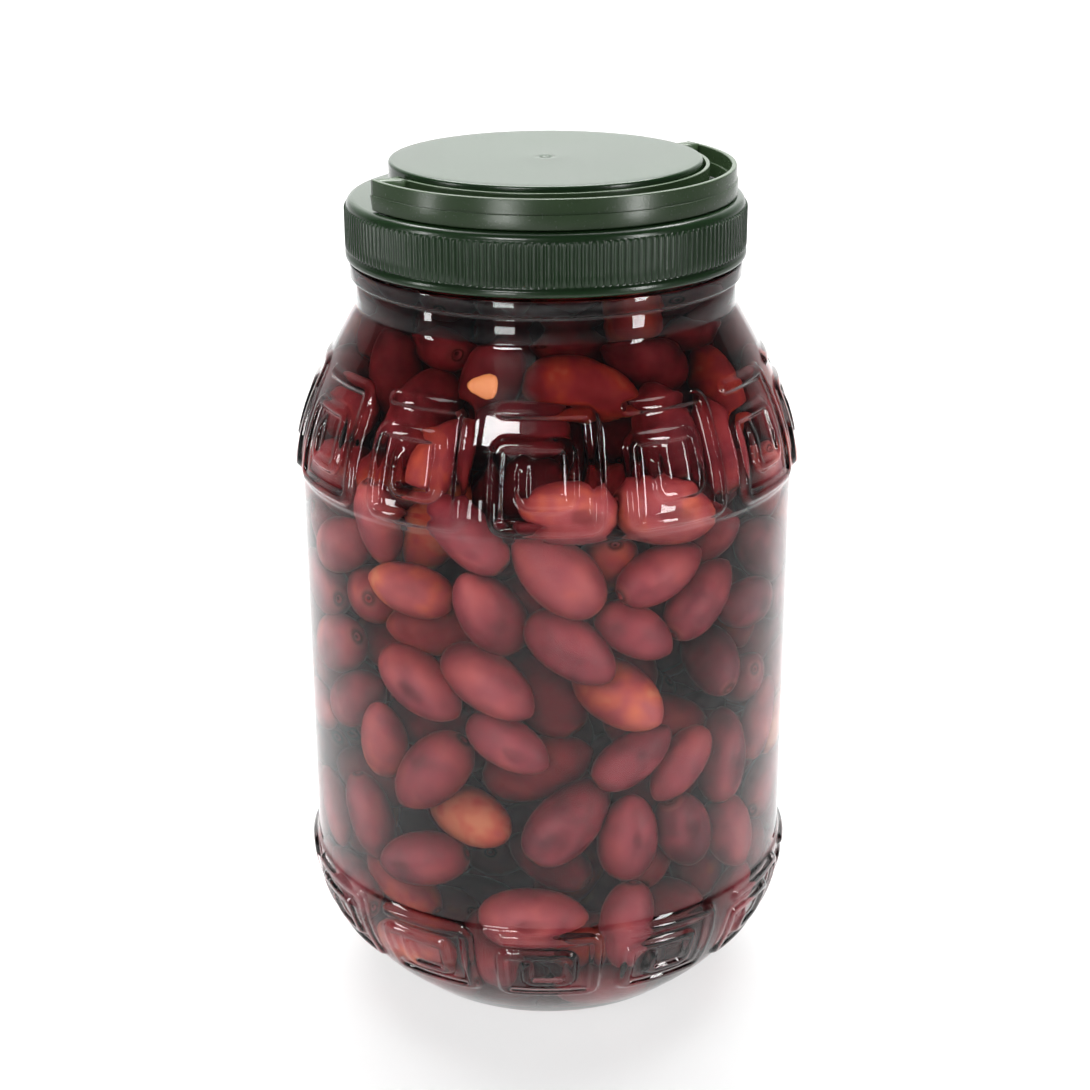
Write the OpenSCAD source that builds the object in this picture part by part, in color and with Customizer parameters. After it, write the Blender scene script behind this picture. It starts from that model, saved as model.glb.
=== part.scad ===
// Wide-mouth clear jar of olives in brine, with a ribbed screw lid and a fold-down carrying handle.
// Millimetres, +Z up. The origin is the middle of the foot, and the front is towards -Y.

/* [Jar] */
// Diameter of the straight side
body_d = 146; // [110:1:200]
// Height from the foot to the rim
jar_h = 244; // [200:1:320]
// Thickness of the clear wall
wall = 1.3; // [1:0.1:2]
// Diameter of the flat ring that the jar stands on
foot_d = 88; // [60:1:96]
// Width of that flat ring
foot_w = 5; // [2:0.5:8]
// How far the middle of the base is pushed up
base_rise = 6; // [2:0.5:12]
// Height of the lower relief band, from the foot
lower_band_h = 46.4; // [30:0.2:60]
// Height of the upper relief band, from the straight side to the neck
upper_band_h = 51; // [40:0.5:65]

/* [Relief] */
// How far the relief bands stand out from the straight side
band_out = 2; // [1.6:0.1:4]
// Height of the raised pattern
relief = 1.4; // [0.6:0.1:1.5]
// Number of square spirals around each band
motif_count = 12; // [8:1:16]
// Share of the circumference that the spirals fill
motif_fill = 0.85; // [0.7:0.01:0.9]
// Width of the pattern's raised line, as a share of a spiral's width
line_share = 0.14; // [0.08:0.01:0.16]

/* [Neck] */
// Diameter of the neck
neck_d = 110.8; // [90:0.1:116]
// Height of the neck, from the shoulder to the rim
neck_h = 28.8; // [24:0.1:36]
// How far the ring under the lid stands out from the neck
ring_out = 1.7; // [0.5:0.1:2.4]
// Height of that ring
ring_h = 4.4; // [2:0.1:6]
// Free space between the brine and the rim
headspace = 8; // [4:1:20]

/* [Lid] */
// Play between the neck and the inside of the lid's skirt
lid_play = 0.7; // [0.3:0.1:1.5]
// Wall of the lid
lid_wall = 1.6; // [1.2:0.1:2.4]
// Height of the skirt, from its lower edge to the flat shoulder
skirt_h = 17.3; // [14:0.1:20]
// Height of the plain bead along the skirt's lower edge
bead_h = 3; // [2:0.1:5]
// Number of grip ribs
rib_count = 180; // [90:1:200]
// Depth of a grip rib
rib_depth = 0.7; // [0.3:0.05:0.8]
// Height of the raised top above the shoulder
top_h = 10.2; // [9.5:0.1:14]

/* [Handle] */
// How far the folded handle lies in from the lid's edge
handle_inset = 3; // [2.4:0.1:6]
// Height of the handle's band
handle_h = 8.4; // [6:0.1:9]
// Thickness of the band
band_t = 1.9; // [1.4:0.1:3]
// Step in the band at half its height
band_step = 0.4; // [0.2:0.05:0.6]
// Width of the slot between the band and the inner strap
slot_w = 5.8; // [4.5:0.1:8]
// Thickness of the inner strap
strap_t = 1.2; // [0.8:0.1:2]
// Gap between the raised top and the strap
strap_gap = 0.8; // [0.5:0.1:1.2]
// Gap between the folded handle and the shoulder
seat_gap = 0.3; // [0.2:0.05:0.5]
// Direction of the handle's axis, turned from +X
axis_turn = 33; // [0:1:90]
// Diameter of a pivot pin
pin_d = 4; // [3:0.1:5]
// Length of a pivot pin
pin_len = 4.6; // [3.5:0.1:6]
// Radial play of a pin in its bore
pin_play = 0.05; // [0.02:0.01:0.1]

/* [Hidden] */
$fn = 180;
eps = 0.01;

// Steps along each curved stretch of the jar's outline
curve_steps = 9;
// Play between the brine and the wall, so that the two solids do not overlap
fill_play = 0.1;
// Height over which a relief band drops to the straight side
drop_h = 2;
// Gap between the lid and the ring below it
ring_drop = 1;
// Radius of the rounded edge between the skirt and the shoulder
lid_round = 2.2;
// Radius of the raised top's rounded edge
top_round = 1;
// How far a rib's root stands clear of the skirt behind it
rib_proud = 0.05;
// Width and depth of the small dimple in the middle of the top
dimple_d = 4.4;
dimple_depth = 0.5;
// Shares of a relief band's height that its spirals leave free
lower_free = 0.42;
upper_free = 0.28;

body_r = body_d / 2;
foot_r = foot_d / 2;
band_r = body_r + band_out;
neck_r = neck_d / 2;
neck_z = jar_h - neck_h;
lower_top = lower_band_h - drop_h;
upper_foot = neck_z - upper_band_h;
upper_bottom = upper_foot + drop_h;

lid_in_r = neck_r + lid_play;
rib_root_r = lid_in_r + lid_wall - rib_depth / 2;
shoulder_z = jar_h + lid_wall;
skirt_z = shoulder_z - skirt_h;
rib_crest_r = rib_root_r + rib_proud + rib_depth;
top_z = shoulder_z + top_h;
ring_z = skirt_z - ring_drop - ring_h;

handle_r = rib_crest_r - handle_inset;
band_in_r = handle_r - band_t;
strap_out_r = band_in_r - band_step - slot_w;
strap_in_r = strap_out_r - strap_t;
top_r = strap_in_r - strap_gap;
handle_z = shoulder_z + seat_gap;
pivot_z = handle_z + handle_h / 2;
heel = handle_h / 2;

// ---- outline of the jar -------------------------------------------------------------------

// Share of the full swell, at a share t of the way from the widest place to the narrowest
function swell(t, sharp, full) = pow(1 - pow(t, sharp), full);

// Outer radius of the raised pattern in the lower band, at height z
function lower_r(z) =
    foot_r + (band_r - foot_r) * swell(max(0, (lower_top - z) / lower_top), 2, 0.8);

// Outer radius of the raised pattern in the upper band, at height z
function upper_r(z) =
    neck_r + (band_r - neck_r)
        * swell(min(1, max(0, (z - upper_bottom) / (neck_z - upper_bottom))), 1.9, 1.15);

// Points up the lower band, set in from the pattern's crest
function lower_points(inset, z0) = [
    for (k = [1 : curve_steps])
        let (z = lower_top * pow(k / curve_steps, 1.6))
        if (z > z0) [lower_r(z) - inset, z]
];

// Points up the upper band, set in from the pattern's crest and easing out to the neck's own inset
function upper_points(inset, neck_inset) = [
    for (k = [0 : curve_steps])
        let (t = k / curve_steps, z = upper_bottom + (neck_z - upper_bottom) * t)
        [upper_r(z) - inset + (inset - neck_inset) * pow(t, 3), z]
];

// The side of the jar from the foot to the neck, set in by a thickness
function side(inset, z0) = concat(
    lower_points(relief + inset, z0),
    [[body_r - inset, lower_band_h], [body_r - inset, upper_foot]],
    upper_points(relief + inset, inset)
);

// The pushed-up base, from the middle out to the foot
function base(lift) = [
    for (k = [0 : 6])
        let (a = 90 * k / 6)
        [(foot_r - foot_w) * sin(a), lift + base_rise * cos(a)]
];

module jar_outside() {
    rotate_extrude()
        polygon(concat(
            base(0),
            [[foot_r, 0]],
            side(0, 0),
            [[neck_r, ring_z - ring_out], [neck_r + ring_out, ring_z],
             [neck_r + ring_out, ring_z + ring_h], [neck_r, ring_z + ring_h],
             [neck_r, jar_h], [0, jar_h]]
        ));
}

// What fills the jar up to a height, set in from the outer surface
module jar_inside(inset, level) {
    rotate_extrude()
        polygon(concat(
            base(inset),
            side(inset, inset + 0.5),
            [[neck_r - inset, level], [0, level]]
        ));
}

// ---- square spirals -----------------------------------------------------------------------

// Middle line of a square spiral in a box from -1 to 1 each way, winding inwards clockwise
spiral = [[-0.92, 1], [1, 1], [1, -1], [-1, -1], [-1, 0.48], [0.47, 0.48], [0.47, -0.52],
          [-0.47, -0.52], [-0.47, 0.1]];

function unit(v) = v / norm(v);
function left_of(v) = [-v.y, v.x];

// Corner k of the line's left or right edge, at a half width w
function edge_point(line, k, w) =
    let (
        before = k > 0 ? unit(line[k] - line[k - 1]) : unit(line[1] - line[0]),
        after = k < len(line) - 1 ? unit(line[k + 1] - line[k]) : before
    )
    before == after ? line[k] + w * left_of(before)
                    : line[k] + w * (left_of(before) + left_of(after));

function outline(line, w) = concat(
    [for (k = [0 : len(line) - 1]) edge_point(line, k, w)],
    [for (k = [len(line) - 1 : -1 : 0]) edge_point(line, k, -w)]
);

// Points of the outline, with long edges split so that they follow the band's swell
function split(points, steps) = [
    for (k = [0 : len(points) - 1])
        let (a = points[k], b = points[(k + 1) % len(points)])
        for (s = [0 : steps - 1]) a + (b - a) * s / steps
];

// One spiral in a band: raised line as seen from the front, extruded outwards from inside the wall
module motif(z_low, z_high, lower) {
    half_turn = 180 / motif_count * motif_fill * (1 - line_share);
    half_h = (z_high - z_low) / 2 * (1 - line_share);
    middle = (z_low + z_high) / 2;
    points = [
        for (p = split(outline(spiral, line_share), 2))
            let (z = middle + half_h * p.y, r = lower ? lower_r(z) : upper_r(z))
            [r * sin(half_turn * p.x), z]
    ];
    rotate([90, 0, 0])
        linear_extrude(band_r + 5)
            polygon(points);
}

// A relief band: the spirals, cut to the crest outside and buried in the wall inside
module relief_band(z_low, z_high, lower) {
    skin = lower ? lower_points(0, 0) : upper_points(0, 0);
    buried = lower ? lower_points(relief + wall / 2, 0)
                   : upper_points(relief + wall / 2, wall / 2);
    intersection() {
        rotate_extrude()
            polygon(concat(skin, [for (k = [len(buried) - 1 : -1 : 0]) buried[k]]));
        union()
            for (k = [0 : motif_count - 1])
                rotate([0, 0, 360 * k / motif_count])
                    motif(z_low, z_high, lower);
    }
}

module jar() {
    color([0.93, 0.95, 0.94, 0.35])
        difference() {
            union() {
                jar_outside();
                relief_band(lower_top * lower_free, lower_top, true);
                relief_band(upper_bottom, neck_z - (neck_z - upper_bottom) * upper_free, false);
            }
            jar_inside(wall, jar_h + 1);
        }
}

// ---- contents -----------------------------------------------------------------------------

module brine() {
    color([0.28, 0.05, 0.06])
        jar_inside(wall + fill_play, jar_h - headspace);
}

// ---- lid ----------------------------------------------------------------------------------

// Toothed outline of the grip ribs
function rib_points() = [
    for (k = [0 : rib_count - 1])
        let (step = 360 / rib_count, root = rib_root_r + rib_proud)
        for (p = [[root, 0.1], [rib_crest_r, 0.3], [rib_crest_r, 0.6], [root, 0.8]])
            p.x * [cos(step * (k + p.y)), sin(step * (k + p.y))]
];

// A quarter round of radius r about a centre, from facing outwards to facing up
function quarter(x, z, r) = [
    for (a = [0 : 15 : 90]) [x + r * cos(a), z + r * sin(a)]
];

module lid_outside() {
    bead_r = rib_root_r + rib_depth;
    rotate_extrude()
        polygon(concat(
            [[0, skirt_z], [bead_r - 0.8, skirt_z], [bead_r, skirt_z + 0.8],
             [bead_r, skirt_z + bead_h - 0.5], [rib_root_r, skirt_z + bead_h]],
            quarter(rib_root_r - lid_round, shoulder_z - lid_round, lid_round),
            [[top_r, shoulder_z], [top_r, top_z - top_round]],
            quarter(top_r - top_round, top_z - top_round, top_round),
            [[0, top_z]]
        ));
    translate([0, 0, skirt_z + bead_h - eps])
        linear_extrude(skirt_h - bead_h - lid_round)
            polygon(rib_points());
}

module lid_inside() {
    rotate_extrude()
        polygon([
            [0, skirt_z - 1], [lid_in_r, skirt_z - 1], [lid_in_r, jar_h],
            [top_r - lid_wall, jar_h], [top_r - lid_wall, top_z - lid_wall],
            [0, top_z - lid_wall]
        ]);
}

// A round bar along the handle's axis, from radius r0 to r1, at both ends of the axis
module axis_bars(d, r0, r1) {
    for (side = [0, 180])
        rotate([0, 0, axis_turn + side])
            translate([r0, 0, pivot_z])
                rotate([0, 90, 0])
                    cylinder(h = r1 - r0, d = d);
}

module lid() {
    boss_d = pin_d + 2 * pin_play + 2 * lid_wall;
    color([0.20, 0.26, 0.20])
        difference() {
            union() {
                difference() {
                    lid_outside();
                    lid_inside();
                }
                axis_bars(boss_d, strap_in_r - pin_len - lid_wall, top_r - lid_wall / 2);
            }
            axis_bars(pin_d + 2 * pin_play, strap_in_r - pin_len - lid_wall - 1, strap_in_r);
            translate([0, 0, top_z - dimple_depth])
                cylinder(h = 2 * dimple_depth, d1 = dimple_d / 4, d2 = dimple_d * 7 / 4);
        }
}

// ---- handle -------------------------------------------------------------------------------

// A ring between two radii, cut off just behind the handle's axis
module front_half(points) {
    intersection() {
        translate([0, 0, handle_z])
            rotate_extrude()
                polygon(points);
        translate([-handle_r - 1, -handle_r - 1, handle_z - 1])
            cube([2 * handle_r + 2, handle_r + 1 + heel, handle_h + 2]);
    }
}

// What the heel loses below the axis, so that it clears the shoulder as the handle lifts
module heel_cut() {
    translate([-handle_r - 1, 0, 0])
        difference() {
            translate([0, 0, handle_z - 1])
                cube([2 * handle_r + 2, heel + 1, heel + 1]);
            translate([-1, 0, pivot_z])
                rotate([0, 90, 0])
                    cylinder(h = 2 * handle_r + 4, r = heel);
        }
}

module handle() {
    color([0.24, 0.30, 0.23]) {
        rotate([0, 0, axis_turn])
            difference() {
                union() {
                    front_half([
                        [band_in_r - band_step, 0], [handle_r, 0], [handle_r, handle_h / 2],
                        [handle_r - band_step, handle_h / 2], [handle_r - band_step, handle_h],
                        [band_in_r, handle_h], [band_in_r, handle_h / 2],
                        [band_in_r - band_step, handle_h / 2]
                    ]);
                    front_half([
                        [strap_in_r, 0], [strap_out_r, 0],
                        [strap_out_r, handle_h], [strap_in_r, handle_h]
                    ]);
                    // End links between the strap and the band
                    difference() {
                        front_half([
                            [strap_in_r, 0], [band_in_r + eps, 0],
                            [band_in_r + eps, handle_h], [strap_in_r, handle_h]
                        ]);
                        translate([-handle_r, -handle_r - heel / 2, handle_z - 1])
                            cube([2 * handle_r, handle_r, handle_h + 2]);
                    }
                }
                heel_cut();
            }
        axis_bars(pin_d, strap_in_r - pin_len, strap_out_r);
    }
}

jar();
lid();
handle();
brine();
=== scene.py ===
"""A wide-mouth clear jar of olives in brine, with a ribbed green screw lid and a fold-down handle."""
import math

import bpy
import numpy as np
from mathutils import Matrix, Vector


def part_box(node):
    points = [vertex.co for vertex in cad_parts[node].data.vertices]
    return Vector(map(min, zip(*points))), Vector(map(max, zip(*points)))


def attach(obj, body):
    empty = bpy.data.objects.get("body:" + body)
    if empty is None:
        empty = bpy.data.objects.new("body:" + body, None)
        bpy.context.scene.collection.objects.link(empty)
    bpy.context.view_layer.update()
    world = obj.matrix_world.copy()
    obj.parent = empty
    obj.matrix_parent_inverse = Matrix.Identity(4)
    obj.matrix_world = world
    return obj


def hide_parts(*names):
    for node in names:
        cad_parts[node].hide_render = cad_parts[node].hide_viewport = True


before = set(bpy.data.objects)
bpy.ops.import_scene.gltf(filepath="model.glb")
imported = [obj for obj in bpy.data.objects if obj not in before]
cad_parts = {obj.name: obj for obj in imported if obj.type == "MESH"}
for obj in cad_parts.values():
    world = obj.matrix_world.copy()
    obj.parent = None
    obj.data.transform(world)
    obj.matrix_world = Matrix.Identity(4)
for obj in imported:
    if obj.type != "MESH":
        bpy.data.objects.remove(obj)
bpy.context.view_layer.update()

# ---- sizes, in millimetres ----------------------------------------------------------------------

MM = 0.001


def box_mm(node):
    """A node's lowest and highest corners, in millimetres."""
    low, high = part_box(node)
    return np.array(low) / MM, np.array(high) / MM


jar_high = box_mm("jar")[1]
lid_low, lid_high = box_mm("lid")
handle_low, handle_high = box_mm("handle")
brine_high = box_mm("brine")[1]

# The jar's body, foot and neck
WALL = 1.3
BAND_R = 75.0
BAND_OUT = 2.0
BODY_R = BAND_R - BAND_OUT
FOOT_R = 44.0
FOOT_W = 5.0
FOOT_FADE = 8.0
BASE_RISE = 6.0
JAR_H = jar_high[2]
NECK_R = 55.4
NECK_H = 28.8
NECK_Z = JAR_H - NECK_H
LOWER_BAND_H = 46.4
UPPER_BAND_H = 51.0
DROP_H = 2.0
LOWER_TOP = LOWER_BAND_H - DROP_H
UPPER_FOOT = NECK_Z - UPPER_BAND_H
UPPER_BOTTOM = UPPER_FOOT + DROP_H
UPPER_H = NECK_Z - UPPER_BOTTOM
LOWER_SWELL = (2, 0.8)
UPPER_SWELL = (1.9, 1.15)
STRAIGHT_FROM = 0.85
STRAIGHT_SLOPE = 0.56
RING_OUT = 1.7
RING_H = 4.4
SKIRT_Z = lid_low[2]
RING_Z = SKIRT_Z - 1 - RING_H

# The spirals in relief: each one's middle line goes from -1 to 1 both ways
MOTIFS = 12
MOTIF_FILL = 0.85
LINE_SHARE = 0.14
SPIRAL = [(-0.92, 1), (1, 1), (1, -1), (-1, -1), (-1, 0.48), (0.47, 0.48), (0.47, -0.52),
          (-0.47, -0.52), (-0.47, 0.1)]
CORNER = 0.2
RELIEF = 1.4
LINE_HALF = 2.6
FLANK = 2.0
LOWER_BARE = 0.42
UPPER_BARE = 0.28

# The mould seam up the lower part of the jar
SEAM_TURN = math.radians(-46.5)
SEAM_OUT = 0.12
SEAM_HALF = 0.55
SEAM_TOP = 60

# The brine and the olives in it; an olive is packed as three balls: place along it, and radius
BRINE_LEVEL = brine_high[2]
BRINE_INTO_WALL = 0.6
OLIVE_LEVEL = BRINE_LEVEL - 22
OLIVE_COUNT = 380
OLIVE_HALF = 14.2
OLIVE_R = 8.6
BALLS = ((-7.0, 6.7), (0.0, 8.6), (7.0, 6.5))
OLIVE_GAP = 0.3
FLOATING_SHARE = 0.07
FLOATING_RISE = 9
SHOULDER_GAP = 13.5
SHOULDER_GAP_FROM = 168
SHOULDER_GAP_RISE = 28
WALL_ZONE = 24

# Olives that are paler than the rest: turn in degrees, height and ripeness
PALE_R = 62
PALE_OLIVES = ((-11, 66, 1.0), (-35, 158, 0.86), (8, 118, 0.74), (28, 176, 0.6), (75, 90, 0.8),
               (140, 150, 0.95), (-100, 110, 0.75), (-140, 60, 0.85), (190, 100, 0.8))

FLAKE_TURN = math.radians(-16.5)
FLAKE_Z = 203.5
FLAKE_TILT = 0.45
FLAKE_DEPTH = 2.2
FLAKE_HALF = (4.2, 3.4, 0.9)

# The lid
LID_WALL = 1.6
LID_IN_R = NECK_R + 0.7
RIB_DEPTH = 0.7
RIB_ROOT_R = LID_IN_R + LID_WALL - RIB_DEPTH / 2
RIB_CREST_R = RIB_ROOT_R + 0.05 + RIB_DEPTH
RIB_COUNT = 180
BEAD_H = 3.0
LID_ROUND = 2.2
SHOULDER_Z = JAR_H + LID_WALL
TOP_Z = lid_high[2]
TOP_R = 45.0
TOP_ROUND = 0.9

# The handle
HANDLE_R = 55.1
BAND_T = 1.9
BAND_STEP = 0.4
STRAP_IN_R = 45.8
STRAP_OUT_R = 47.0
HANDLE_Z = handle_low[2]
HANDLE_H = handle_high[2] - handle_low[2]
PIVOT_Z = HANDLE_Z + HANDLE_H / 2
HEEL = HANDLE_H / 2
AXIS_TURN = math.radians(33)
PIN_R = 2.0
PIN_LEN = 4.6
BAR_ROUND = 0.3

# ---- mesh helpers -------------------------------------------------------------------------------


def make_piece(name, vertices, faces, material):
    """A smooth-shaded mesh object from points in millimetres."""
    mesh = bpy.data.meshes.new(name)
    mesh.from_pydata((np.asarray(vertices, float) * MM).tolist(), [], faces)
    mesh.update()
    mesh.shade_smooth()
    mesh.materials.append(material)
    piece = bpy.data.objects.new(name, mesh)
    bpy.context.collection.objects.link(piece)
    return piece


def grid_faces(rows, columns, wrap=True):
    """Quads between the rows of a grid of points, closed round its columns if it wraps."""
    last = columns if wrap else columns - 1
    row, column = np.meshgrid(np.arange(rows - 1), np.arange(last), indexing="ij")
    after = (column + 1) % columns
    corners = [row * columns + column, row * columns + after,
               (row + 1) * columns + after, (row + 1) * columns + column]
    return np.stack([c.ravel() for c in corners], 1).tolist()


def closed_faces(rows, columns):
    """Quads between closed rings of points, with a flat face over each end."""
    faces = grid_faces(rows, columns)
    faces.append(list(range(columns))[::-1])
    faces.append(list(range((rows - 1) * columns, rows * columns)))
    return faces


def turned(radius, height, angle):
    """Points on a turned surface: radius and height by row, angle by column."""
    radius, height = np.atleast_2d(radius), np.atleast_2d(height)
    angle = np.asarray(angle)[None, :]
    full = np.broadcast_to(radius * np.ones_like(angle), (radius.shape[0], angle.shape[1]))
    return np.stack([full * np.sin(angle), -full * np.cos(angle),
                     np.broadcast_to(height * np.ones_like(angle), full.shape)], -1)


def spun(outline, angle):
    """Points on a turned surface, from its outline of radius and height."""
    outline = np.asarray(outline, float)
    return turned(outline[:, :1], outline[:, 1:], angle)


def smoothstep(x):
    """0 below 0 and 1 above 1, easing between them."""
    x = np.clip(x, 0, 1)
    return x * x * (3 - 2 * x)


def rounded(corners, radius, steps=4):
    """An outline with each corner replaced by a small arc."""
    corners = [np.array(c, float) for c in corners]
    out = []
    for k, corner in enumerate(corners):
        before, after = corners[k - 1] - corner, corners[(k + 1) % len(corners)] - corner
        reach = min(radius, 0.45 * np.linalg.norm(before), 0.45 * np.linalg.norm(after))
        a = corner + before / np.linalg.norm(before) * reach
        b = corner + after / np.linalg.norm(after) * reach
        for s in np.linspace(0, 1, steps + 1):
            out.append((1 - s) ** 2 * a + 2 * s * (1 - s) * corner + s * s * b)
    return np.array(out)


# ---- shader helpers -----------------------------------------------------------------------------


class Wire:
    """A shader socket. Arithmetic on it adds Math nodes."""

    def __init__(self, finish, socket):
        self.finish, self.socket = finish, socket

    def _math(self, operation, *values, clamp=False):
        """One Math node, with the values or wires that it works on."""
        return self.finish.node("ShaderNodeMath", {"operation": operation, "use_clamp": clamp},
                                dict(enumerate(values)))

    def __add__(self, other):
        return self._math("ADD", self, other)

    def __sub__(self, other):
        return self._math("SUBTRACT", self, other)

    def __rsub__(self, other):
        return self._math("SUBTRACT", other, self)

    def __mul__(self, other):
        return self._math("MULTIPLY", self, other)

    __radd__ = __add__
    __rmul__ = __mul__

    def size(self):
        """The value without its sign."""
        return self._math("ABSOLUTE", self)

    def clamped(self):
        """The value kept between 0 and 1."""
        return self._math("ADD", self, 0.0, clamp=True)

    def step(self, low, high):
        """0 below low and 1 above high, easing between them."""
        return self.finish.node("ShaderNodeMapRange", {"interpolation_type": "SMOOTHSTEP"},
                                {"Value": self, "From Min": low, "From Max": high})


class Finish:
    """The nodes of one material, or of the world round the jar."""

    def __init__(self, name, kind=bpy.data.materials, output="ShaderNodeOutputMaterial"):
        self.owner = kind.new(name)
        self.owner.use_nodes = True
        self.tree = self.owner.node_tree
        self.tree.nodes.clear()
        self.out = self.tree.nodes.new(output)

    def node(self, kind, settings=None, sockets=None, output=0):
        """A node with its settings made first, then its sockets' values or links."""
        made = self.tree.nodes.new(kind)
        for key, value in (settings or {}).items():
            if key == "stops":
                self._stops(made.color_ramp, value)
            else:
                setattr(made, key, value)
        for key, value in (sockets or {}).items():
            if isinstance(value, Wire):
                self.tree.links.new(value.socket, made.inputs[key])
            else:
                made.inputs[key].default_value = value
        return Wire(self, made.outputs[output])

    @staticmethod
    def _stops(ramp, stops):
        """Give a colour ramp its stops, each a place and a colour."""
        while len(ramp.elements) > 1:
            ramp.elements.remove(ramp.elements[-1])
        for k, (place, colour) in enumerate(stops):
            element = ramp.elements[0] if k == 0 else ramp.elements.new(place)
            element.position, element.color = place, (*colour, 1)

    def place(self):
        """The point on the piece, in metres."""
        return self.node("ShaderNodeTexCoord", output="Object")

    def noise(self, scale, detail, vector=None, distortion=0.0):
        """Cloudy values round 0.5; scale is how many clouds there are to a metre."""
        return self.node("ShaderNodeTexNoise", {}, {
            "Vector": vector or self.place(), "Scale": scale, "Detail": detail,
            "Distortion": distortion})

    def ramp(self, factor, stops):
        """A colour that runs through the stops as the factor goes from 0 to 1."""
        return self.node("ShaderNodeValToRGB", {"stops": stops}, {"Fac": factor})

    def mix(self, factor, a, b):
        """Colour a where the factor is 0, and colour b where it is 1."""
        a, b = [c if isinstance(c, Wire) else (*c, 1) for c in (a, b)]
        return self.node("ShaderNodeMix", {"data_type": "RGBA"}, {0: factor, 6: a, 7: b}, output=2)

    def bump(self, height, strength, distance):
        """Shallow unevenness for the Normal socket."""
        return self.node("ShaderNodeBump", {},
                         {"Height": height, "Strength": strength, "Distance": distance})

    def attribute(self, name):
        """A value that the mesh holds at each of its points."""
        return self.node("ShaderNodeAttribute", {"attribute_name": name}, output="Fac")

    def surface(self, shader):
        """Make this shader the surface, and give back the finished material or world."""
        self.tree.links.new(shader.socket, self.out.inputs["Surface"])
        return self.owner

    def principled(self, **sockets):
        """The main shader, with an underscore for each space in a socket's name."""
        return self.node("ShaderNodeBsdfPrincipled", {},
                         {key.replace("_", " "): value for key, value in sockets.items()})

    def lit_through(self, glass, tint):
        """Glass that lets the lamps' light through to what it holds, tinted."""
        lamps = self.node("ShaderNodeLightPath", output="Is Shadow Ray")
        open_way = self.node("ShaderNodeBsdfTransparent", {}, {"Color": (*tint, 1)})
        return self.node("ShaderNodeMixShader", {}, {0: lamps, 1: glass, 2: open_way})


def clear_wall(name, sheen):
    """Clear moulded plastic: glossy, with faint flow marks and a few fine scuffs.

    The sheen is low where brine wets the wall, because little light turns back there."""
    f = Finish(name)
    upright = f.node("ShaderNodeMapping", {}, {"Vector": f.place(), "Scale": (1, 1, 0.35)})
    flow = f.noise(28, detail=2, vector=upright)
    scuff = f.noise(900, detail=2)
    glass = f.principled(
        Base_Color=(0.985, 0.995, 0.99, 1), Transmission_Weight=1.0, IOR=1.5,
        Specular_Tint=(sheen, sheen, sheen, 1), Roughness=0.015 + scuff.step(0.62, 0.8) * 0.05,
        Normal=f.bump(flow, 0.12, 0.002))
    return f.surface(f.lit_through(glass, (0.96, 0.97, 0.965)))


def brine_liquid():
    """Red-brown brine: clear near the wall and nearly black in depth."""
    f = Finish("brine_liquid")
    haze = f.noise(60, detail=2)
    glass = f.principled(Base_Color=(0.97, 0.93, 0.93, 1), Transmission_Weight=1.0, IOR=1.34,
                         Specular_Tint=(0.15, 0.15, 0.15, 1), Roughness=0.01 + haze * 0.02)
    f.surface(f.lit_through(glass, (0.95, 0.9, 0.9)))
    depth = f.node("ShaderNodeVolumeAbsorption", {},
                   {"Color": (0.64, 0.32, 0.34, 1), "Density": 105.0})
    f.tree.links.new(depth.socket, f.out.inputs["Volume"])
    return f.owner


def olive_skin():
    """Burgundy olive skin: each olive has its own ripeness, mottling and a dark stem scar."""
    f = Finish("olive_skin")
    ripe = f.attribute("ripeness")
    stem = f.attribute("stem")
    cloud = f.noise(110, detail=2)
    blotch = f.noise(42, detail=2, distortion=0.6)
    tone = (ripe + (cloud - 0.5) * 0.95 + (blotch - 0.5) * 0.8).clamped()
    skin = f.ramp(tone, [(0.0, (0.12, 0.022, 0.032)), (0.35, (0.27, 0.050, 0.064)),
                         (0.62, (0.40, 0.088, 0.088)), (0.82, (0.58, 0.15, 0.085)),
                         (1.0, (0.68, 0.34, 0.17))])
    skin = f.mix(stem.step(0.5, 0.85) * 0.25, skin, (0.34, 0.13, 0.09))
    skin = f.mix(stem.step(0.84, 0.99) * 0.75, skin, (0.05, 0.015, 0.012))
    return f.surface(f.principled(
        Base_Color=skin, Roughness=0.32 + cloud * 0.15, Specular_IOR_Level=0.1,
        Normal=f.bump(cloud, 0.1, 0.001)))


def olive_flesh():
    """Pale orange olive flesh with a fibrous mottle."""
    f = Finish("olive_flesh")
    fibre = f.noise(600, detail=3)
    return f.surface(f.principled(
        Base_Color=f.mix(fibre, (0.72, 0.23, 0.06), (0.82, 0.36, 0.12)),
        Roughness=0.45 + fibre * 0.15, Normal=f.bump(fibre, 0.3, 0.0004)))


def green_plastic(name, colour, sheen):
    """Dark green moulded plastic: semi-gloss, with a fine grain and slow changes of tone."""
    f = Finish(name)
    tone = f.noise(22, detail=3)
    grain = f.noise(1500, detail=2)
    dark = tuple(c * 0.8 for c in colour)
    base = f.mix(tone.step(0.3, 0.7), dark, colour)
    return f.surface(f.principled(
        Base_Color=base, Roughness=sheen + grain * 0.05, Specular_IOR_Level=0.4,
        Normal=f.bump(grain, 0.08, 0.0004)))


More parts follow.
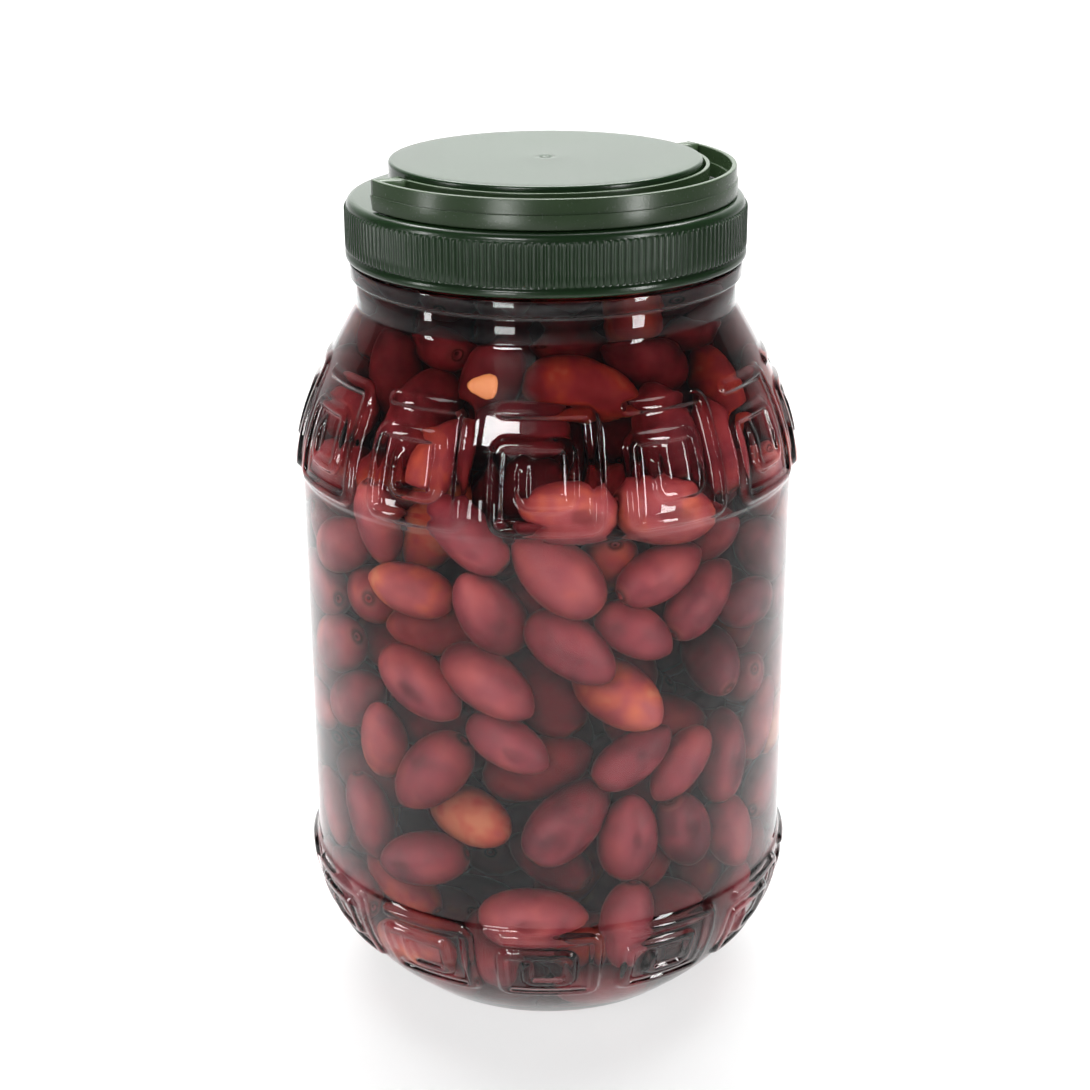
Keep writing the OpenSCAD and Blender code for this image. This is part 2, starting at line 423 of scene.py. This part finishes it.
def pale_floor():
    """A pale floor that glows evenly to the eye.

    What the jar mirrors of it is only a pool of light round the jar, wider towards the back."""
    f = Finish("pale_floor")
    tone = f.noise(3, detail=2)
    x, y = [f.node("ShaderNodeSeparateXYZ", {}, {0: f.place()}, output=k) for k in (0, 1)]
    seen = f.node("ShaderNodeLightPath", output="Is Camera Ray")
    outside = (x.size() - y * 0.24).step(0.21, 0.40) * (1 - seen)
    return f.surface(f.principled(Base_Color=f.mix(tone, (0.33, 0.33, 0.33), (0.35, 0.35, 0.35)),
                                  Roughness=0.8, Specular_IOR_Level=0.2, Emission_Strength=0.69,
                                  Emission_Color=f.mix(outside, (1, 1, 1), (0.2, 0.2, 0.2))))


def studio_world():
    """Pale surroundings, bright to the eye and dim as a source of light."""
    f = Finish("studio", bpy.data.worlds, "ShaderNodeOutputWorld")
    seen = f.node("ShaderNodeLightPath", output="Is Camera Ray")
    return f.surface(f.node("ShaderNodeBackground", {},
                            {"Color": (0.8, 0.82, 0.84, 1), "Strength": seen + 0.12}))


# ---- the jar ------------------------------------------------------------------------------------


def swell(t, sharp, full):
    """Share of the full swell, at a share t of the way from the widest place to the narrowest."""
    return (1 - np.clip(t, 0, 1) ** sharp) ** full


def lower_r(z):
    """Outer radius of the raised pattern in the lower band."""
    return FOOT_R + (BAND_R - FOOT_R) * swell((LOWER_TOP - z) / LOWER_TOP, *LOWER_SWELL)


def upper_r(z):
    """Outer radius of the raised pattern in the upper band."""
    return NECK_R + (BAND_R - NECK_R) * swell((z - UPPER_BOTTOM) / UPPER_H, *UPPER_SWELL)


def band_spans():
    """Lowest and highest points of the spirals in the lower and the upper band."""
    return (LOWER_TOP * LOWER_BARE, LOWER_TOP), (UPPER_BOTTOM, NECK_Z - UPPER_H * UPPER_BARE)


def ground_outline():
    """The jar's outside between the raised lines, from the foot to the neck: radius and height."""
    low = [(lower_r(z) - RELIEF * smoothstep(z / FOOT_FADE), z)
           for z in LOWER_TOP * (np.linspace(0, 1, 60) ** 1.5)]
    straight = UPPER_BOTTOM + STRAIGHT_FROM * UPPER_H
    up = [(upper_r(z) - RELIEF * (1 - ((z - UPPER_BOTTOM) / UPPER_H) ** 3), z)
          for z in np.linspace(UPPER_BOTTOM, straight, 60)]
    up += [(max(NECK_R, up[-1][0] - STRAIGHT_SLOPE * rise), straight + rise)
           for rise in np.linspace(0.2, NECK_Z - straight, 36)]
    step_low = [(BODY_R + (BAND_OUT - RELIEF) * (1 - smoothstep(s)), LOWER_TOP + DROP_H * s)
                for s in (0.2, 0.4, 0.6, 0.8, 1)]
    step_up = [(BODY_R + (BAND_OUT - RELIEF) * smoothstep(s), UPPER_FOOT + DROP_H * s)
               for s in (0, 0.2, 0.4, 0.6, 0.8)]
    return np.array(low + step_low + step_up + up)


def ticks(centres, half, low, high, gap):
    """Grid lines over each raised line, from its middle to its edges, with wider ones between."""
    lines = {low, high}
    for c in centres:
        for offset in half * np.array([0, 0.25, 0.4, 0.55, 0.7, 0.85, 1.0]):
            lines.update((c - offset, c + offset))
    lines = sorted(x for x in lines if low <= x <= high)
    kept = [lines[0]]
    for x in lines[1:]:
        if x - kept[-1] > 0.07 * half:
            parts = max(1, math.ceil((x - kept[-1]) / gap))
            kept += [kept[-1] + (x - kept[-1]) * (k + 1) / parts for k in range(parts)]
    return np.array(kept)


def rounded_spiral():
    """The spiral's middle line with its corners rounded."""
    line = [np.array(p, float) for p in SPIRAL]
    out = [line[0]]
    for before, corner, after in zip(line, line[1:], line[2:]):
        a = corner + (before - corner) / np.linalg.norm(before - corner) * CORNER
        b = corner + (after - corner) / np.linalg.norm(after - corner) * CORNER
        out += [(1 - t) ** 2 * a + 2 * t * (1 - t) * corner + t * t * b
                for t in (0, 0.25, 0.5, 0.75, 1)]
    return out + [line[-1]]


def line_distance(x, y, wide, high):
    """Distance in millimetres from grid points to the spiral's middle line."""
    best = np.full(np.broadcast(x, y).shape, 1e9)
    line = rounded_spiral()
    for (ax, ay), (bx, by) in zip(line, line[1:]):
        px, py, dx, dy = (x - ax) * wide, (y - ay) * high, (bx - ax) * wide, (by - ay) * high
        share = np.clip((px * dx + py * dy) / (dx * dx + dy * dy), 0, 1)
        best = np.minimum(best, np.hypot(px - share * dx, py - share * dy))
    return best


def jar_columns():
    """Angles round the jar, close together over the spirals' upright lines."""
    half_turn = math.pi / MOTIFS * MOTIF_FILL * (1 - LINE_SHARE)
    wide = BAND_R * half_turn
    edge = math.pi / MOTIFS / half_turn
    across = ticks([-1, -0.47, 0.47, 1], LINE_HALF / wide, -edge, edge, 1.6 / wide)[:-1]
    turns = [2 * math.pi * k / MOTIFS + across * half_turn for k in range(MOTIFS)]
    return np.concatenate(turns), half_turn


def jar_rows():
    """Radius and height of the jar's rows, close together over the spirals' level lines."""
    ground = ground_outline()
    heights = [np.array([0.0, 0.6, 1.5, 3, 5, 7.5])]
    spans = band_spans()
    for low, high in spans:
        middle, half = (low + high) / 2, (high - low) / 2 * (1 - LINE_SHARE)
        lines = ticks([-1, -0.52, 0.48, 1], LINE_HALF / half, -1 - LINE_HALF / half,
                      1 + LINE_HALF / half, 2.2 / half)
        heights.append(middle + half * lines)
    heights += [np.linspace(9, spans[0][0] - 1, 5), np.linspace(LOWER_TOP, LOWER_BAND_H, 6),
                np.linspace(LOWER_BAND_H + 1, UPPER_FOOT - 1, 12),
                np.linspace(UPPER_FOOT, UPPER_BOTTOM, 6),
                np.linspace(spans[1][1] + 2, NECK_Z - 1.2, 8), [NECK_Z - 0.4, NECK_Z]]
    heights = np.unique(np.round(np.concatenate(heights), 2))
    heights = heights[(heights >= 0) & (heights <= NECK_Z)]
    heights = heights[np.concatenate([[True], np.diff(heights) > 0.12])]
    return np.interp(heights, ground[:, 1], ground[:, 0]), heights


def raised_height(angle, heights, half_turn):
    """How far the spirals stand out of the ground, over the grid of rows and columns."""
    pitch = 2 * math.pi / MOTIFS
    across = ((angle + pitch / 2) % pitch - pitch / 2)[None, :] / half_turn
    up = np.zeros((len(heights), len(angle)))
    for (low, high), radius in zip(band_spans(), (lower_r, upper_r)):
        middle, half = (low + high) / 2, (high - low) / 2 * (1 - LINE_SHARE)
        slope = np.gradient(radius(heights), heights)
        stretch = np.sqrt(1 + np.clip(slope, -2, 2) ** 2)[:, None]
        level = ((heights - middle) / half)[:, None]
        wide = radius(heights)[:, None] * half_turn
        away = line_distance(across, level, wide, half * stretch)
        inside = ((heights > low - 3) & (heights < high + 3))[:, None]
        up = np.maximum(up, smoothstep((LINE_HALF - away) / FLANK) * inside)
    return up


def inner_radius(heights, ground):
    """Radius of the jar's inside at some heights."""
    return np.interp(heights, ground[0], ground[1]) - WALL


def base_curve(first, last, steps, lift=0.0):
    """The pushed-up base as radius and height, between two angles from the axis."""
    return [((FOOT_R - FOOT_W) * math.sin(a), lift + BASE_RISE * math.cos(a))
            for a in np.linspace(first, last, steps)]


def jar_side(angle, half_turn, ground):
    """Radius of the jar's side over rows and columns, with its spirals and mould seams."""
    heights, radius = ground
    up = raised_height(angle, heights, half_turn)
    limit = np.maximum(np.where(heights < NECK_Z / 2, lower_r(heights), upper_r(heights)), radius)
    side = radius[:, None] + up * (limit - radius)[:, None]
    seam = np.minimum(np.abs((angle - SEAM_TURN + math.pi / 2) % math.pi - math.pi / 2), 1)
    ridge = SEAM_OUT * np.exp(-((seam * BODY_R / SEAM_HALF) ** 2))
    side = side + ridge[None, :] * (heights < SEAM_TOP)[:, None]
    return np.minimum(side, jar_high[0])


def neck_outline():
    """Radius and height from the top of the shoulder over the neck ring to the inside of the rim."""
    ring_top = RING_Z + RING_H
    ring = rounded([(NECK_R - 6, RING_Z - 0.4), (NECK_R, RING_Z - 0.4), (NECK_R + RING_OUT, RING_Z),
                    (NECK_R + RING_OUT, ring_top), (NECK_R, ring_top), (NECK_R - 6, ring_top)], 0.5)
    return [(NECK_R, NECK_Z + 0.5), (NECK_R, NECK_Z + 2), (NECK_R, RING_Z - 1.5),
            *[tuple(p) for p in ring[5:25]],
            (NECK_R - 0.1, ring_top + 1), (NECK_R - 0.1, JAR_H - 0.6), (NECK_R - 0.6, JAR_H - 0.1),
            (NECK_R - WALL + 0.4, JAR_H - 0.1), (NECK_R - WALL, JAR_H - 0.6)]


def make_jar(material, wet_material):
    """The clear shell: relief outside, a smooth wall inside, the ring and the rim at the top."""
    angle, half_turn = jar_columns()
    radius, heights = jar_rows()
    ground = heights, radius
    side = jar_side(angle, half_turn, ground)
    base = base_curve(0.02, math.pi / 2, 10) + [(FOOT_R - 1.5, 0.0)]
    neck = neck_outline()
    inner_z = np.linspace(NECK_Z, WALL + 0.5, 40)
    inner = [(NECK_R - WALL, NECK_Z + 6), *zip(inner_radius(inner_z, ground), inner_z),
             *base_curve(math.pi / 2 - 0.1, 0.02, 10, WALL)]
    points = np.concatenate([
        spun(base, angle), turned(side, heights[:, None] * np.ones_like(side), angle),
        spun(neck, angle), spun(inner, angle)], 0)
    rows, columns = points.shape[:2]
    faces = closed_faces(rows, columns)
    piece = make_piece("jar_shell", points.reshape(-1, 3), faces, material)
    piece.data.materials.append(wet_material)
    first_wet = (len(base) + len(heights) + len(neck)) * columns
    wet = [int(f >= first_wet) for f in range(len(faces) - 2)] + [0, 0]
    piece.data.polygons.foreach_set("material_index", wet)
    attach(piece, "jar")
    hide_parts("jar")
    return ground


def make_brine(material, ground):
    """The brine, reaching half way into the wall, with a slight meniscus at the top."""
    z = np.concatenate([np.linspace(WALL + 0.2, 40, 24), np.linspace(44, NECK_Z, 50)])
    rise = base_curve(0.02, math.pi / 2 - 0.06, 9, WALL - BRINE_INTO_WALL)
    side = list(zip(inner_radius(z, ground) + BRINE_INTO_WALL, z))
    top_r = NECK_R - WALL
    top = [(top_r + BRINE_INTO_WALL, NECK_Z + 4), (top_r + BRINE_INTO_WALL, BRINE_LEVEL),
           (top_r - 0.4, BRINE_LEVEL - 0.3), (top_r - 2, BRINE_LEVEL - 1.1),
           (top_r - 5, BRINE_LEVEL - 1.3), (0.5, BRINE_LEVEL - 1.3)]
    columns = 240
    points = spun(rise + side + top, np.linspace(0, 2 * math.pi, columns, endpoint=False))
    faces = grid_faces(len(points), columns)
    piece = make_piece("brine_fill", points.reshape(-1, 3), faces, material)
    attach(piece, "jar")
    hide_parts("brine")


# ---- the olives ---------------------------------------------------------------------------------


def pack_olives(ground, rng):
    """Middles, directions and sizes of olives that fill the jar without passing into each other."""
    floor = WALL + BASE_RISE + 1
    floating = rng.uniform(size=OLIVE_COUNT) < FLOATING_SHARE
    ceiling = np.where(floating, OLIVE_LEVEL + FLOATING_RISE, OLIVE_LEVEL)
    size = rng.uniform(0.86, 1.12, OLIVE_COUNT)
    z = rng.uniform(floor + 9, ceiling - 9)
    reach = inner_radius(z, ground) - 9
    out = reach * np.sqrt(rng.uniform(0, 1, OLIVE_COUNT))
    turn = rng.uniform(0, 2 * math.pi, OLIVE_COUNT)
    middle = np.stack([out * np.sin(turn), -out * np.cos(turn), z], 1)
    away = middle * [1, 1, 0] / (out + 1e-9)[:, None]
    along = rng.normal(size=(OLIVE_COUNT, 3))
    flat = np.clip((out - reach + 22) / 16, 0, 0.9)[:, None]
    along -= flat * (along * away).sum(1, keepdims=True) * away
    along /= np.linalg.norm(along, axis=1, keepdims=True)
    offset = np.array([b[0] for b in BALLS])[None, :] * size[:, None]
    ball_r = np.array([b[1] for b in BALLS])[None, :] * size[:, None]
    leans = np.radians([-70, -45, -20, 0, 25, 50])
    first, second = np.triu_indices(OLIVE_COUNT, 1)
    for step in range(200):
        if step % 10 == 0:
            gap = np.linalg.norm(middle[first] - middle[second], axis=1)
            close = gap < 32
            a, b = first[close], second[close]
        ball = middle[:, None, :] + along[:, None, :] * offset[:, :, None]
        push = np.zeros_like(ball)
        for i in range(3):
            for j in range(3):
                apart = ball[a, i] - ball[b, j]
                length = np.linalg.norm(apart, axis=1) + 1e-9
                over = np.clip(ball_r[a, i] + ball_r[b, j] - length, 0, None)
                move = apart / length[:, None] * (over * 0.5)[:, None]
                np.add.at(push[:, i], a, move)
                np.add.at(push[:, j], b, -move)
        ball = ball + push * 0.6
        out = np.linalg.norm(ball[..., :2], axis=2) + 1e-9
        wall = np.min([inner_radius(ball[..., 2] + ball_r * math.sin(a), ground)
                       - ball_r * math.cos(a) for a in leans], axis=0)
        wall -= OLIVE_GAP + SHOULDER_GAP * smoothstep(
            (ball[..., 2] - SHOULDER_GAP_FROM) / SHOULDER_GAP_RISE)
        ball[..., :2] *= np.minimum(1, np.clip(wall, 1, None) / out)[..., None]
        outer = (np.linalg.norm(middle[:, :2], axis=1) > 40)[:, None]
        ball[..., :2] *= 1 + 0.0012 * outer[..., None]
        ball[..., 2] = np.clip(ball[..., 2], floor + ball_r, ceiling[:, None] - ball_r)
        middle = ball.mean(1)
        along = ball[:, 2] - ball[:, 0]
        along /= np.linalg.norm(along, axis=1, keepdims=True)
    return middle, along, size


def olive_shape(rings, columns):
    """A unit olive lying along Z: points, faces, and how near each point is to the stem scar."""
    t = -np.cos(np.linspace(0.13, math.pi - 0.10, rings))
    r = np.sqrt(1 - t * t) ** 0.92 * (1 - 0.07 * t) * (1 - 0.05 * np.clip(t - 0.6, 0, 1))
    z = t + 0.035 * np.clip(t - 0.93, 0, 1) * 20
    z = np.concatenate([[z[0] + 0.07], [z[0] + 0.02], z])
    r = np.concatenate([[0.05], [r[0] * 0.62], r])
    stem = np.clip((-z - 0.80) / 0.17, 0, 1)
    stem[0], stem[1] = 1.0, 0.78
    angle = np.linspace(0, 2 * math.pi, columns, endpoint=False)
    points = np.stack([r[:, None] * np.cos(angle), r[:, None] * np.sin(angle),
                       z[:, None] * np.ones(columns)], -1).reshape(-1, 3)
    return points, closed_faces(len(z), columns), np.repeat(stem, columns)


def make_olives(name, places, ripeness, shape, material, rng):
    """One mesh of many olives, each with its own size, bend and ripeness."""
    base, faces, stem = shape
    points, all_faces, ripe, scar = [], [], [], []
    for k, (middle, along, size) in enumerate(zip(*places)):
        side = np.cross(along, [0.31, 0.52, 0.79])
        side /= np.linalg.norm(side)
        up = np.cross(along, side)
        wide, bend = rng.uniform(0.94, 1.05, 2), rng.uniform(-0.06, 0.06)
        x = base[:, 0] * OLIVE_R * size * wide[0] + bend * base[:, 2] ** 2 * OLIVE_R * size
        y = base[:, 1] * OLIVE_R * size * wide[1]
        z = base[:, 2] * OLIVE_HALF * size
        points.append(middle + x[:, None] * side + y[:, None] * up + z[:, None] * along)
        start = k * len(base)
        all_faces += [[i + start for i in f] for f in faces]
        ripe.append(np.full(len(base), ripeness[k]))
        scar.append(stem)
    piece = make_piece(name, np.concatenate(points), all_faces, material)
    for label, values in (("ripeness", np.concatenate(ripe)), ("stem", np.concatenate(scar))):
        piece.data.attributes.new(label, "FLOAT", "POINT").data.foreach_set(
            "value", values.astype(np.float32))
    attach(piece, "jar")


def make_flake(ground, material):
    """A torn flake of pale olive flesh against the wall of the shoulder."""
    points, faces, _ = olive_shape(8, 16)
    away = np.array([math.sin(FLAKE_TURN), -math.cos(FLAKE_TURN), FLAKE_TILT])
    away /= np.linalg.norm(away)
    side = np.cross([0, 0, 1], away)
    side /= np.linalg.norm(side)
    up = np.cross(away, side)
    out = inner_radius(FLAKE_Z, ground) - FLAKE_DEPTH
    middle = np.array([out * math.sin(FLAKE_TURN), -out * math.cos(FLAKE_TURN), FLAKE_Z])
    ragged = 1 + 0.16 * np.sin(3 * np.arctan2(points[:, 2], points[:, 0]))[:, None]
    wide, tall, thick = FLAKE_HALF
    points = middle + ragged * (wide * points[:, 2:] * side + tall * points[:, :1] * up
                                + thick * points[:, 1:2] * away)
    piece = make_piece("torn_flake", points, faces, material)
    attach(piece, "jar")


def fill_with_olives(ground, material):
    """All the olives: finer ones near the wall, and plainer ones in the depth of the jar."""
    rng = np.random.default_rng(11)
    middle, along, size = pack_olives(ground, rng)
    ripeness = np.clip(rng.normal(0.38, 0.2, OLIVE_COUNT), 0.02, 0.68)
    for turn, height, pale in PALE_OLIVES:
        turn = math.radians(turn)
        place = np.array([PALE_R * math.sin(turn), -PALE_R * math.cos(turn), height])
        ripeness[np.argmin(np.linalg.norm(middle - place, axis=1))] = pale
    near = np.linalg.norm(middle[:, :2], axis=1) > inner_radius(middle[:, 2], ground) - WALL_ZONE
    for name, chosen, shape in (("olives_at_wall", near, olive_shape(14, 22)),
                                ("olives_inside", ~near, olive_shape(8, 12))):
        places = (middle[chosen], along[chosen], size[chosen])
        make_olives(name, places, ripeness[chosen], shape, material, rng)


# ---- the lid ------------------------------------------------------------------------------------


def lid_outline(rib_low, rib_high):
    """The lid's outside between its ribs as radius and height, from the skirt to the middle."""
    bead = [(LID_IN_R, 0.6), (LID_IN_R + 0.3, 0.1), (RIB_CREST_R - 0.8, 0), (RIB_CREST_R - 0.35, 0.15),
            (RIB_CREST_R - 0.08, 0.5), (RIB_CREST_R, 0.95), (RIB_CREST_R - 0.02, 1.7),
            (RIB_CREST_R - 0.25, 2.2), (RIB_ROOT_R + 0.1, 2.5), (RIB_ROOT_R, BEAD_H)]
    outline = [(radius, SKIRT_Z + up) for radius, up in bead]
    outline += [(RIB_ROOT_R, z) for z in np.linspace(rib_low + 0.4, rib_high - 2.4, 5)]
    outline += [(RIB_ROOT_R, z) for z in rib_high - np.array([1.8, 1.3, 0.9, 0.6, 0.3, 0.05])]
    outline += [(RIB_ROOT_R - LID_ROUND + LID_ROUND * math.cos(a), rib_high + LID_ROUND * math.sin(a))
                for a in np.linspace(0.1, math.pi / 2, 9)]
    outline += [(TOP_R + 3, SHOULDER_Z), (TOP_R + 0.5, SHOULDER_Z), (TOP_R + 0.12, SHOULDER_Z + 0.15),
                (TOP_R, SHOULDER_Z + 0.6), (TOP_R, TOP_Z - 1.2)]
    outline += [(TOP_R - TOP_ROUND + TOP_ROUND * math.cos(a),
                 TOP_Z - TOP_ROUND + TOP_ROUND * math.sin(a))
                for a in np.linspace(0.1, math.pi / 2, 8)]
    face_and_dimple = [(TOP_R - 4, 0.02), (30, 0.12), (12, 0.14), (4, 0.1), (2.2, 0.06), (1.7, 0.2),
                       (1.2, 0.5), (0.3, 0.6)]
    return np.array(outline + [(radius, TOP_Z - down) for radius, down in face_and_dimple])


def make_lid(material):
    """The screw lid: grip ribs with rounded ends, a plain bead below and a raised top."""
    rib_low, rib_high = SKIRT_Z + BEAD_H, SHOULDER_Z - LID_ROUND
    outline = lid_outline(rib_low, rib_high)
    root, z = outline[:, :1], outline[:, 1:]
    per_rib = np.array([0.0, 0.13, 0.26, 0.4, 0.54, 0.67, 0.8])
    crest = np.array([0.0, 0.55, 0.95, 1.0, 0.95, 0.55, 0.0])
    angle = np.concatenate([(k + per_rib) * 2 * math.pi / RIB_COUNT for k in range(RIB_COUNT)])
    end = np.clip((rib_high - 0.05 - z) / 1.1, 0, 1)
    body = np.sqrt(1 - (1 - end) ** 2) * smoothstep((z - rib_low + 0.1) / 0.5)
    body = body * (root < RIB_ROOT_R + 0.02) * (z < rib_high)
    radius = root + body * np.tile(crest, RIB_COUNT)[None, :] * (RIB_CREST_R - RIB_ROOT_R)
    under = [(0.3, TOP_Z - LID_WALL), (TOP_R - LID_WALL, TOP_Z - LID_WALL), (TOP_R - LID_WALL, JAR_H),
             (LID_IN_R, JAR_H), (LID_IN_R, SKIRT_Z + 4)]
    points = np.concatenate([spun(under, angle), turned(radius, z * np.ones_like(radius), angle)], 0)
    rows, columns = points.shape[:2]
    piece = make_piece("screw_lid", points.reshape(-1, 3), closed_faces(rows, columns), material)
    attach(piece, "jar")
    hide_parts("lid")


# ---- the handle ---------------------------------------------------------------------------------


def swept_arc(section, steps):
    """A rounded section swept round the front to just behind the handle's axis.

    Its ends are square above the axis and round below it, so that the handle can turn."""
    section = np.asarray(section)
    points = []
    for share in np.linspace(-1, 1, steps):
        ring = []
        for radius, height in section:
            behind = math.asin(HEEL / radius)
            angle = share * (math.pi / 2 + behind)
            x, y = radius * math.sin(angle), -radius * math.cos(angle)
            if abs(share) == 1:
                below = min(0.0, height - HANDLE_H / 2)
                y = min(y, math.sqrt(max(HEEL ** 2 - below ** 2, 0)))
                x = math.copysign(math.sqrt(radius ** 2 - y * y), x)
            ring.append((x, y, HANDLE_Z + height))
        points.append(ring)
    return np.array(points).reshape(-1, 3), closed_faces(steps, len(section))


def bar_along_axis(outline, low, high):
    """A bar along the handle's axis with bevelled rims, from an outline across it."""
    outline = np.asarray(outline)
    middle = outline.mean(0)
    span = np.linalg.norm(outline - middle, axis=1, keepdims=True)
    rings = []
    for x, shrink in ((low, BAR_ROUND), (low + BAR_ROUND, 0), (high - BAR_ROUND, 0), (high, BAR_ROUND)):
        ring = middle + (outline - middle) * (1 - shrink / span)
        rings.append([(x, p[0], p[1]) for p in ring])
    return np.array(rings).reshape(-1, 3), closed_faces(len(rings), len(outline))


def make_handle(material):
    """The folded handle: a stepped band and a thin strap, joined by a link and pin at each end."""
    half, top = HANDLE_H / 2, HANDLE_Z + HANDLE_H
    band_in = HANDLE_R - BAND_T
    band = rounded([(band_in - BAND_STEP, 0), (HANDLE_R, 0), (HANDLE_R, half),
                    (HANDLE_R - BAND_STEP, half), (HANDLE_R - BAND_STEP, HANDLE_H),
                    (band_in, HANDLE_H), (band_in, half), (band_in - BAND_STEP, half)], 0.45)
    strap = rounded([(STRAP_IN_R, 0), (STRAP_OUT_R, 0), (STRAP_OUT_R, HANDLE_H),
                     (STRAP_IN_R, HANDLE_H)], 0.35)
    quarter = [(HEEL * math.cos(a), PIVOT_Z + HEEL * math.sin(a))
               for a in np.linspace(0, -math.pi / 2, 9)]
    link = quarter + [(-half / 2, HANDLE_Z), (-half / 2, top)]
    link += [tuple(p) for p in rounded([(0, top), (HEEL, top), (HEEL, PIVOT_Z)], 0.5)[5:10]]
    pin = [(PIN_R * math.cos(a), PIVOT_Z + PIN_R * math.sin(a))
           for a in np.linspace(0, 2 * math.pi, 24, endpoint=False)]
    shapes = [swept_arc(band, 150), swept_arc(strap, 120)]
    for sign in (1, -1):
        for outline, low, high in ((link, STRAP_IN_R, band_in + 0.5),
                                   (pin, STRAP_IN_R - PIN_LEN, STRAP_OUT_R)):
            points, faces = bar_along_axis(outline, low, high)
            if sign < 0:
                points = points * np.array([-1, 1, 1])
                faces = [f[::-1] for f in faces]
            shapes.append((points, faces))
    points, faces, start = [], [], 0
    for p, f in shapes:
        points.append(p)
        faces += [[i + start for i in face] for face in f]
        start += len(p)
    c, s = math.cos(AXIS_TURN), math.sin(AXIS_TURN)
    points = np.concatenate(points) @ np.array([[c, s, 0], [-s, c, 0], [0, 0, 1]])
    piece = make_piece("carrying_handle", points, faces, material)
    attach(piece, "handle")
    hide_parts("handle")


# ---- the studio ---------------------------------------------------------------------------------


def make_camera():
    """The camera stands in front, above the lid, and looks down at the jar."""
    data = bpy.data.cameras.new("camera")
    data.sensor_width = 36.0
    data.lens = 69.6
    data.shift_x = 0.001
    data.clip_start, data.clip_end = 0.05, 20
    camera = bpy.data.objects.new("camera", data)
    bpy.context.collection.objects.link(camera)
    camera.location = (0, -0.6034, 0.3639)
    camera.rotation_euler = (math.radians(90 - 20.61), math.radians(0.24), 0)
    bpy.context.scene.camera = camera


def make_lamp(name, place, target, size, power, lights=True, mirrored=True):
    """A soft rectangular lamp, which may only light things or only be mirrored in them.

    Its place, target and size are in metres, and its power in watts."""
    data = bpy.data.lights.new(name, "AREA")
    data.shape, data.size, data.size_y = "RECTANGLE", size[0], size[1]
    data.energy = power
    lamp = bpy.data.objects.new(name, data)
    bpy.context.collection.objects.link(lamp)
    lamp.location = place
    lamp.visible_diffuse = lamp.visible_transmission = lights
    lamp.visible_glossy = mirrored
    lamp.rotation_euler = (Vector(target) - Vector(place)).to_track_quat("-Z", "Y").to_euler()


def make_floor():
    """The floor, in metres, bending up into a backdrop behind the jar."""
    front, bend_y, bend_r, back_top, half_wide = -1.6, 0.9, 0.5, 2.0, 2.5
    line = [(front, 0.0), (bend_y, 0.0)]
    line += [(bend_y + bend_r * math.sin(a), bend_r - bend_r * math.cos(a))
             for a in np.linspace(0.15, 1.57, 12)]
    line += [(bend_y + bend_r, back_top)]
    points = np.array([[x, y, z] for y, z in line for x in (-half_wide, half_wide)]) / MM
    make_piece("floor", points, grid_faces(len(line), 2, wrap=False), pale_floor())


def make_studio():
    """Floor, lamps and surroundings, and how many times light may bounce."""
    make_floor()
    make_lamp("overhead", (0, 0.40, 1.15), (0, 0.0, 0.1), (1.3, 0.8), 15)
    make_lamp("fill", (-0.35, -1.05, 0.82), (0, 0, 0.15), (0.5, 0.4), 2.8, mirrored=False)
    make_lamp("window_left", (-0.44, -1.02, 0.81), (0, 0, 0.19), (0.34, 0.18), 6.5, lights=False)
    make_lamp("window_low", (-0.44, -1.02, 0.12), (0, 0, 0.25), (0.22, 0.22), 2.6, lights=False)
    make_lamp("window_right", (0.94, -0.69, 0.38), (0, 0, 0.25), (0.14, 0.72), 7.5, lights=False)
    make_lamp("window_side", (-1.05, -0.35, 0.36), (0, 0, 0.17), (0.10, 0.5), 3.2, lights=False)
    make_lamp("backdrop_wash", (0, 0.7, 1.6), (0, 1.4, 0.5), (2.2, 0.5), 65)
    bpy.context.scene.world = studio_world()
    bpy.context.scene.view_settings.view_transform = "Standard"
    cycles = bpy.context.scene.cycles
    cycles.max_bounces, cycles.transmission_bounces = 8, 8
    cycles.diffuse_bounces, cycles.glossy_bounces = 2, 3
    cycles.adaptive_threshold = 0.08


make_camera()
ground = make_jar(clear_wall("clear_wall", 0.62), clear_wall("clear_wall_wet", 0.1))
make_brine(brine_liquid(), ground)
fill_with_olives(ground, olive_skin())
make_flake(ground, olive_flesh())
make_lid(green_plastic("lid_green", (0.014, 0.046, 0.013), 0.2))
make_handle(green_plastic("handle_green", (0.052, 0.092, 0.041), 0.24))
make_studio()
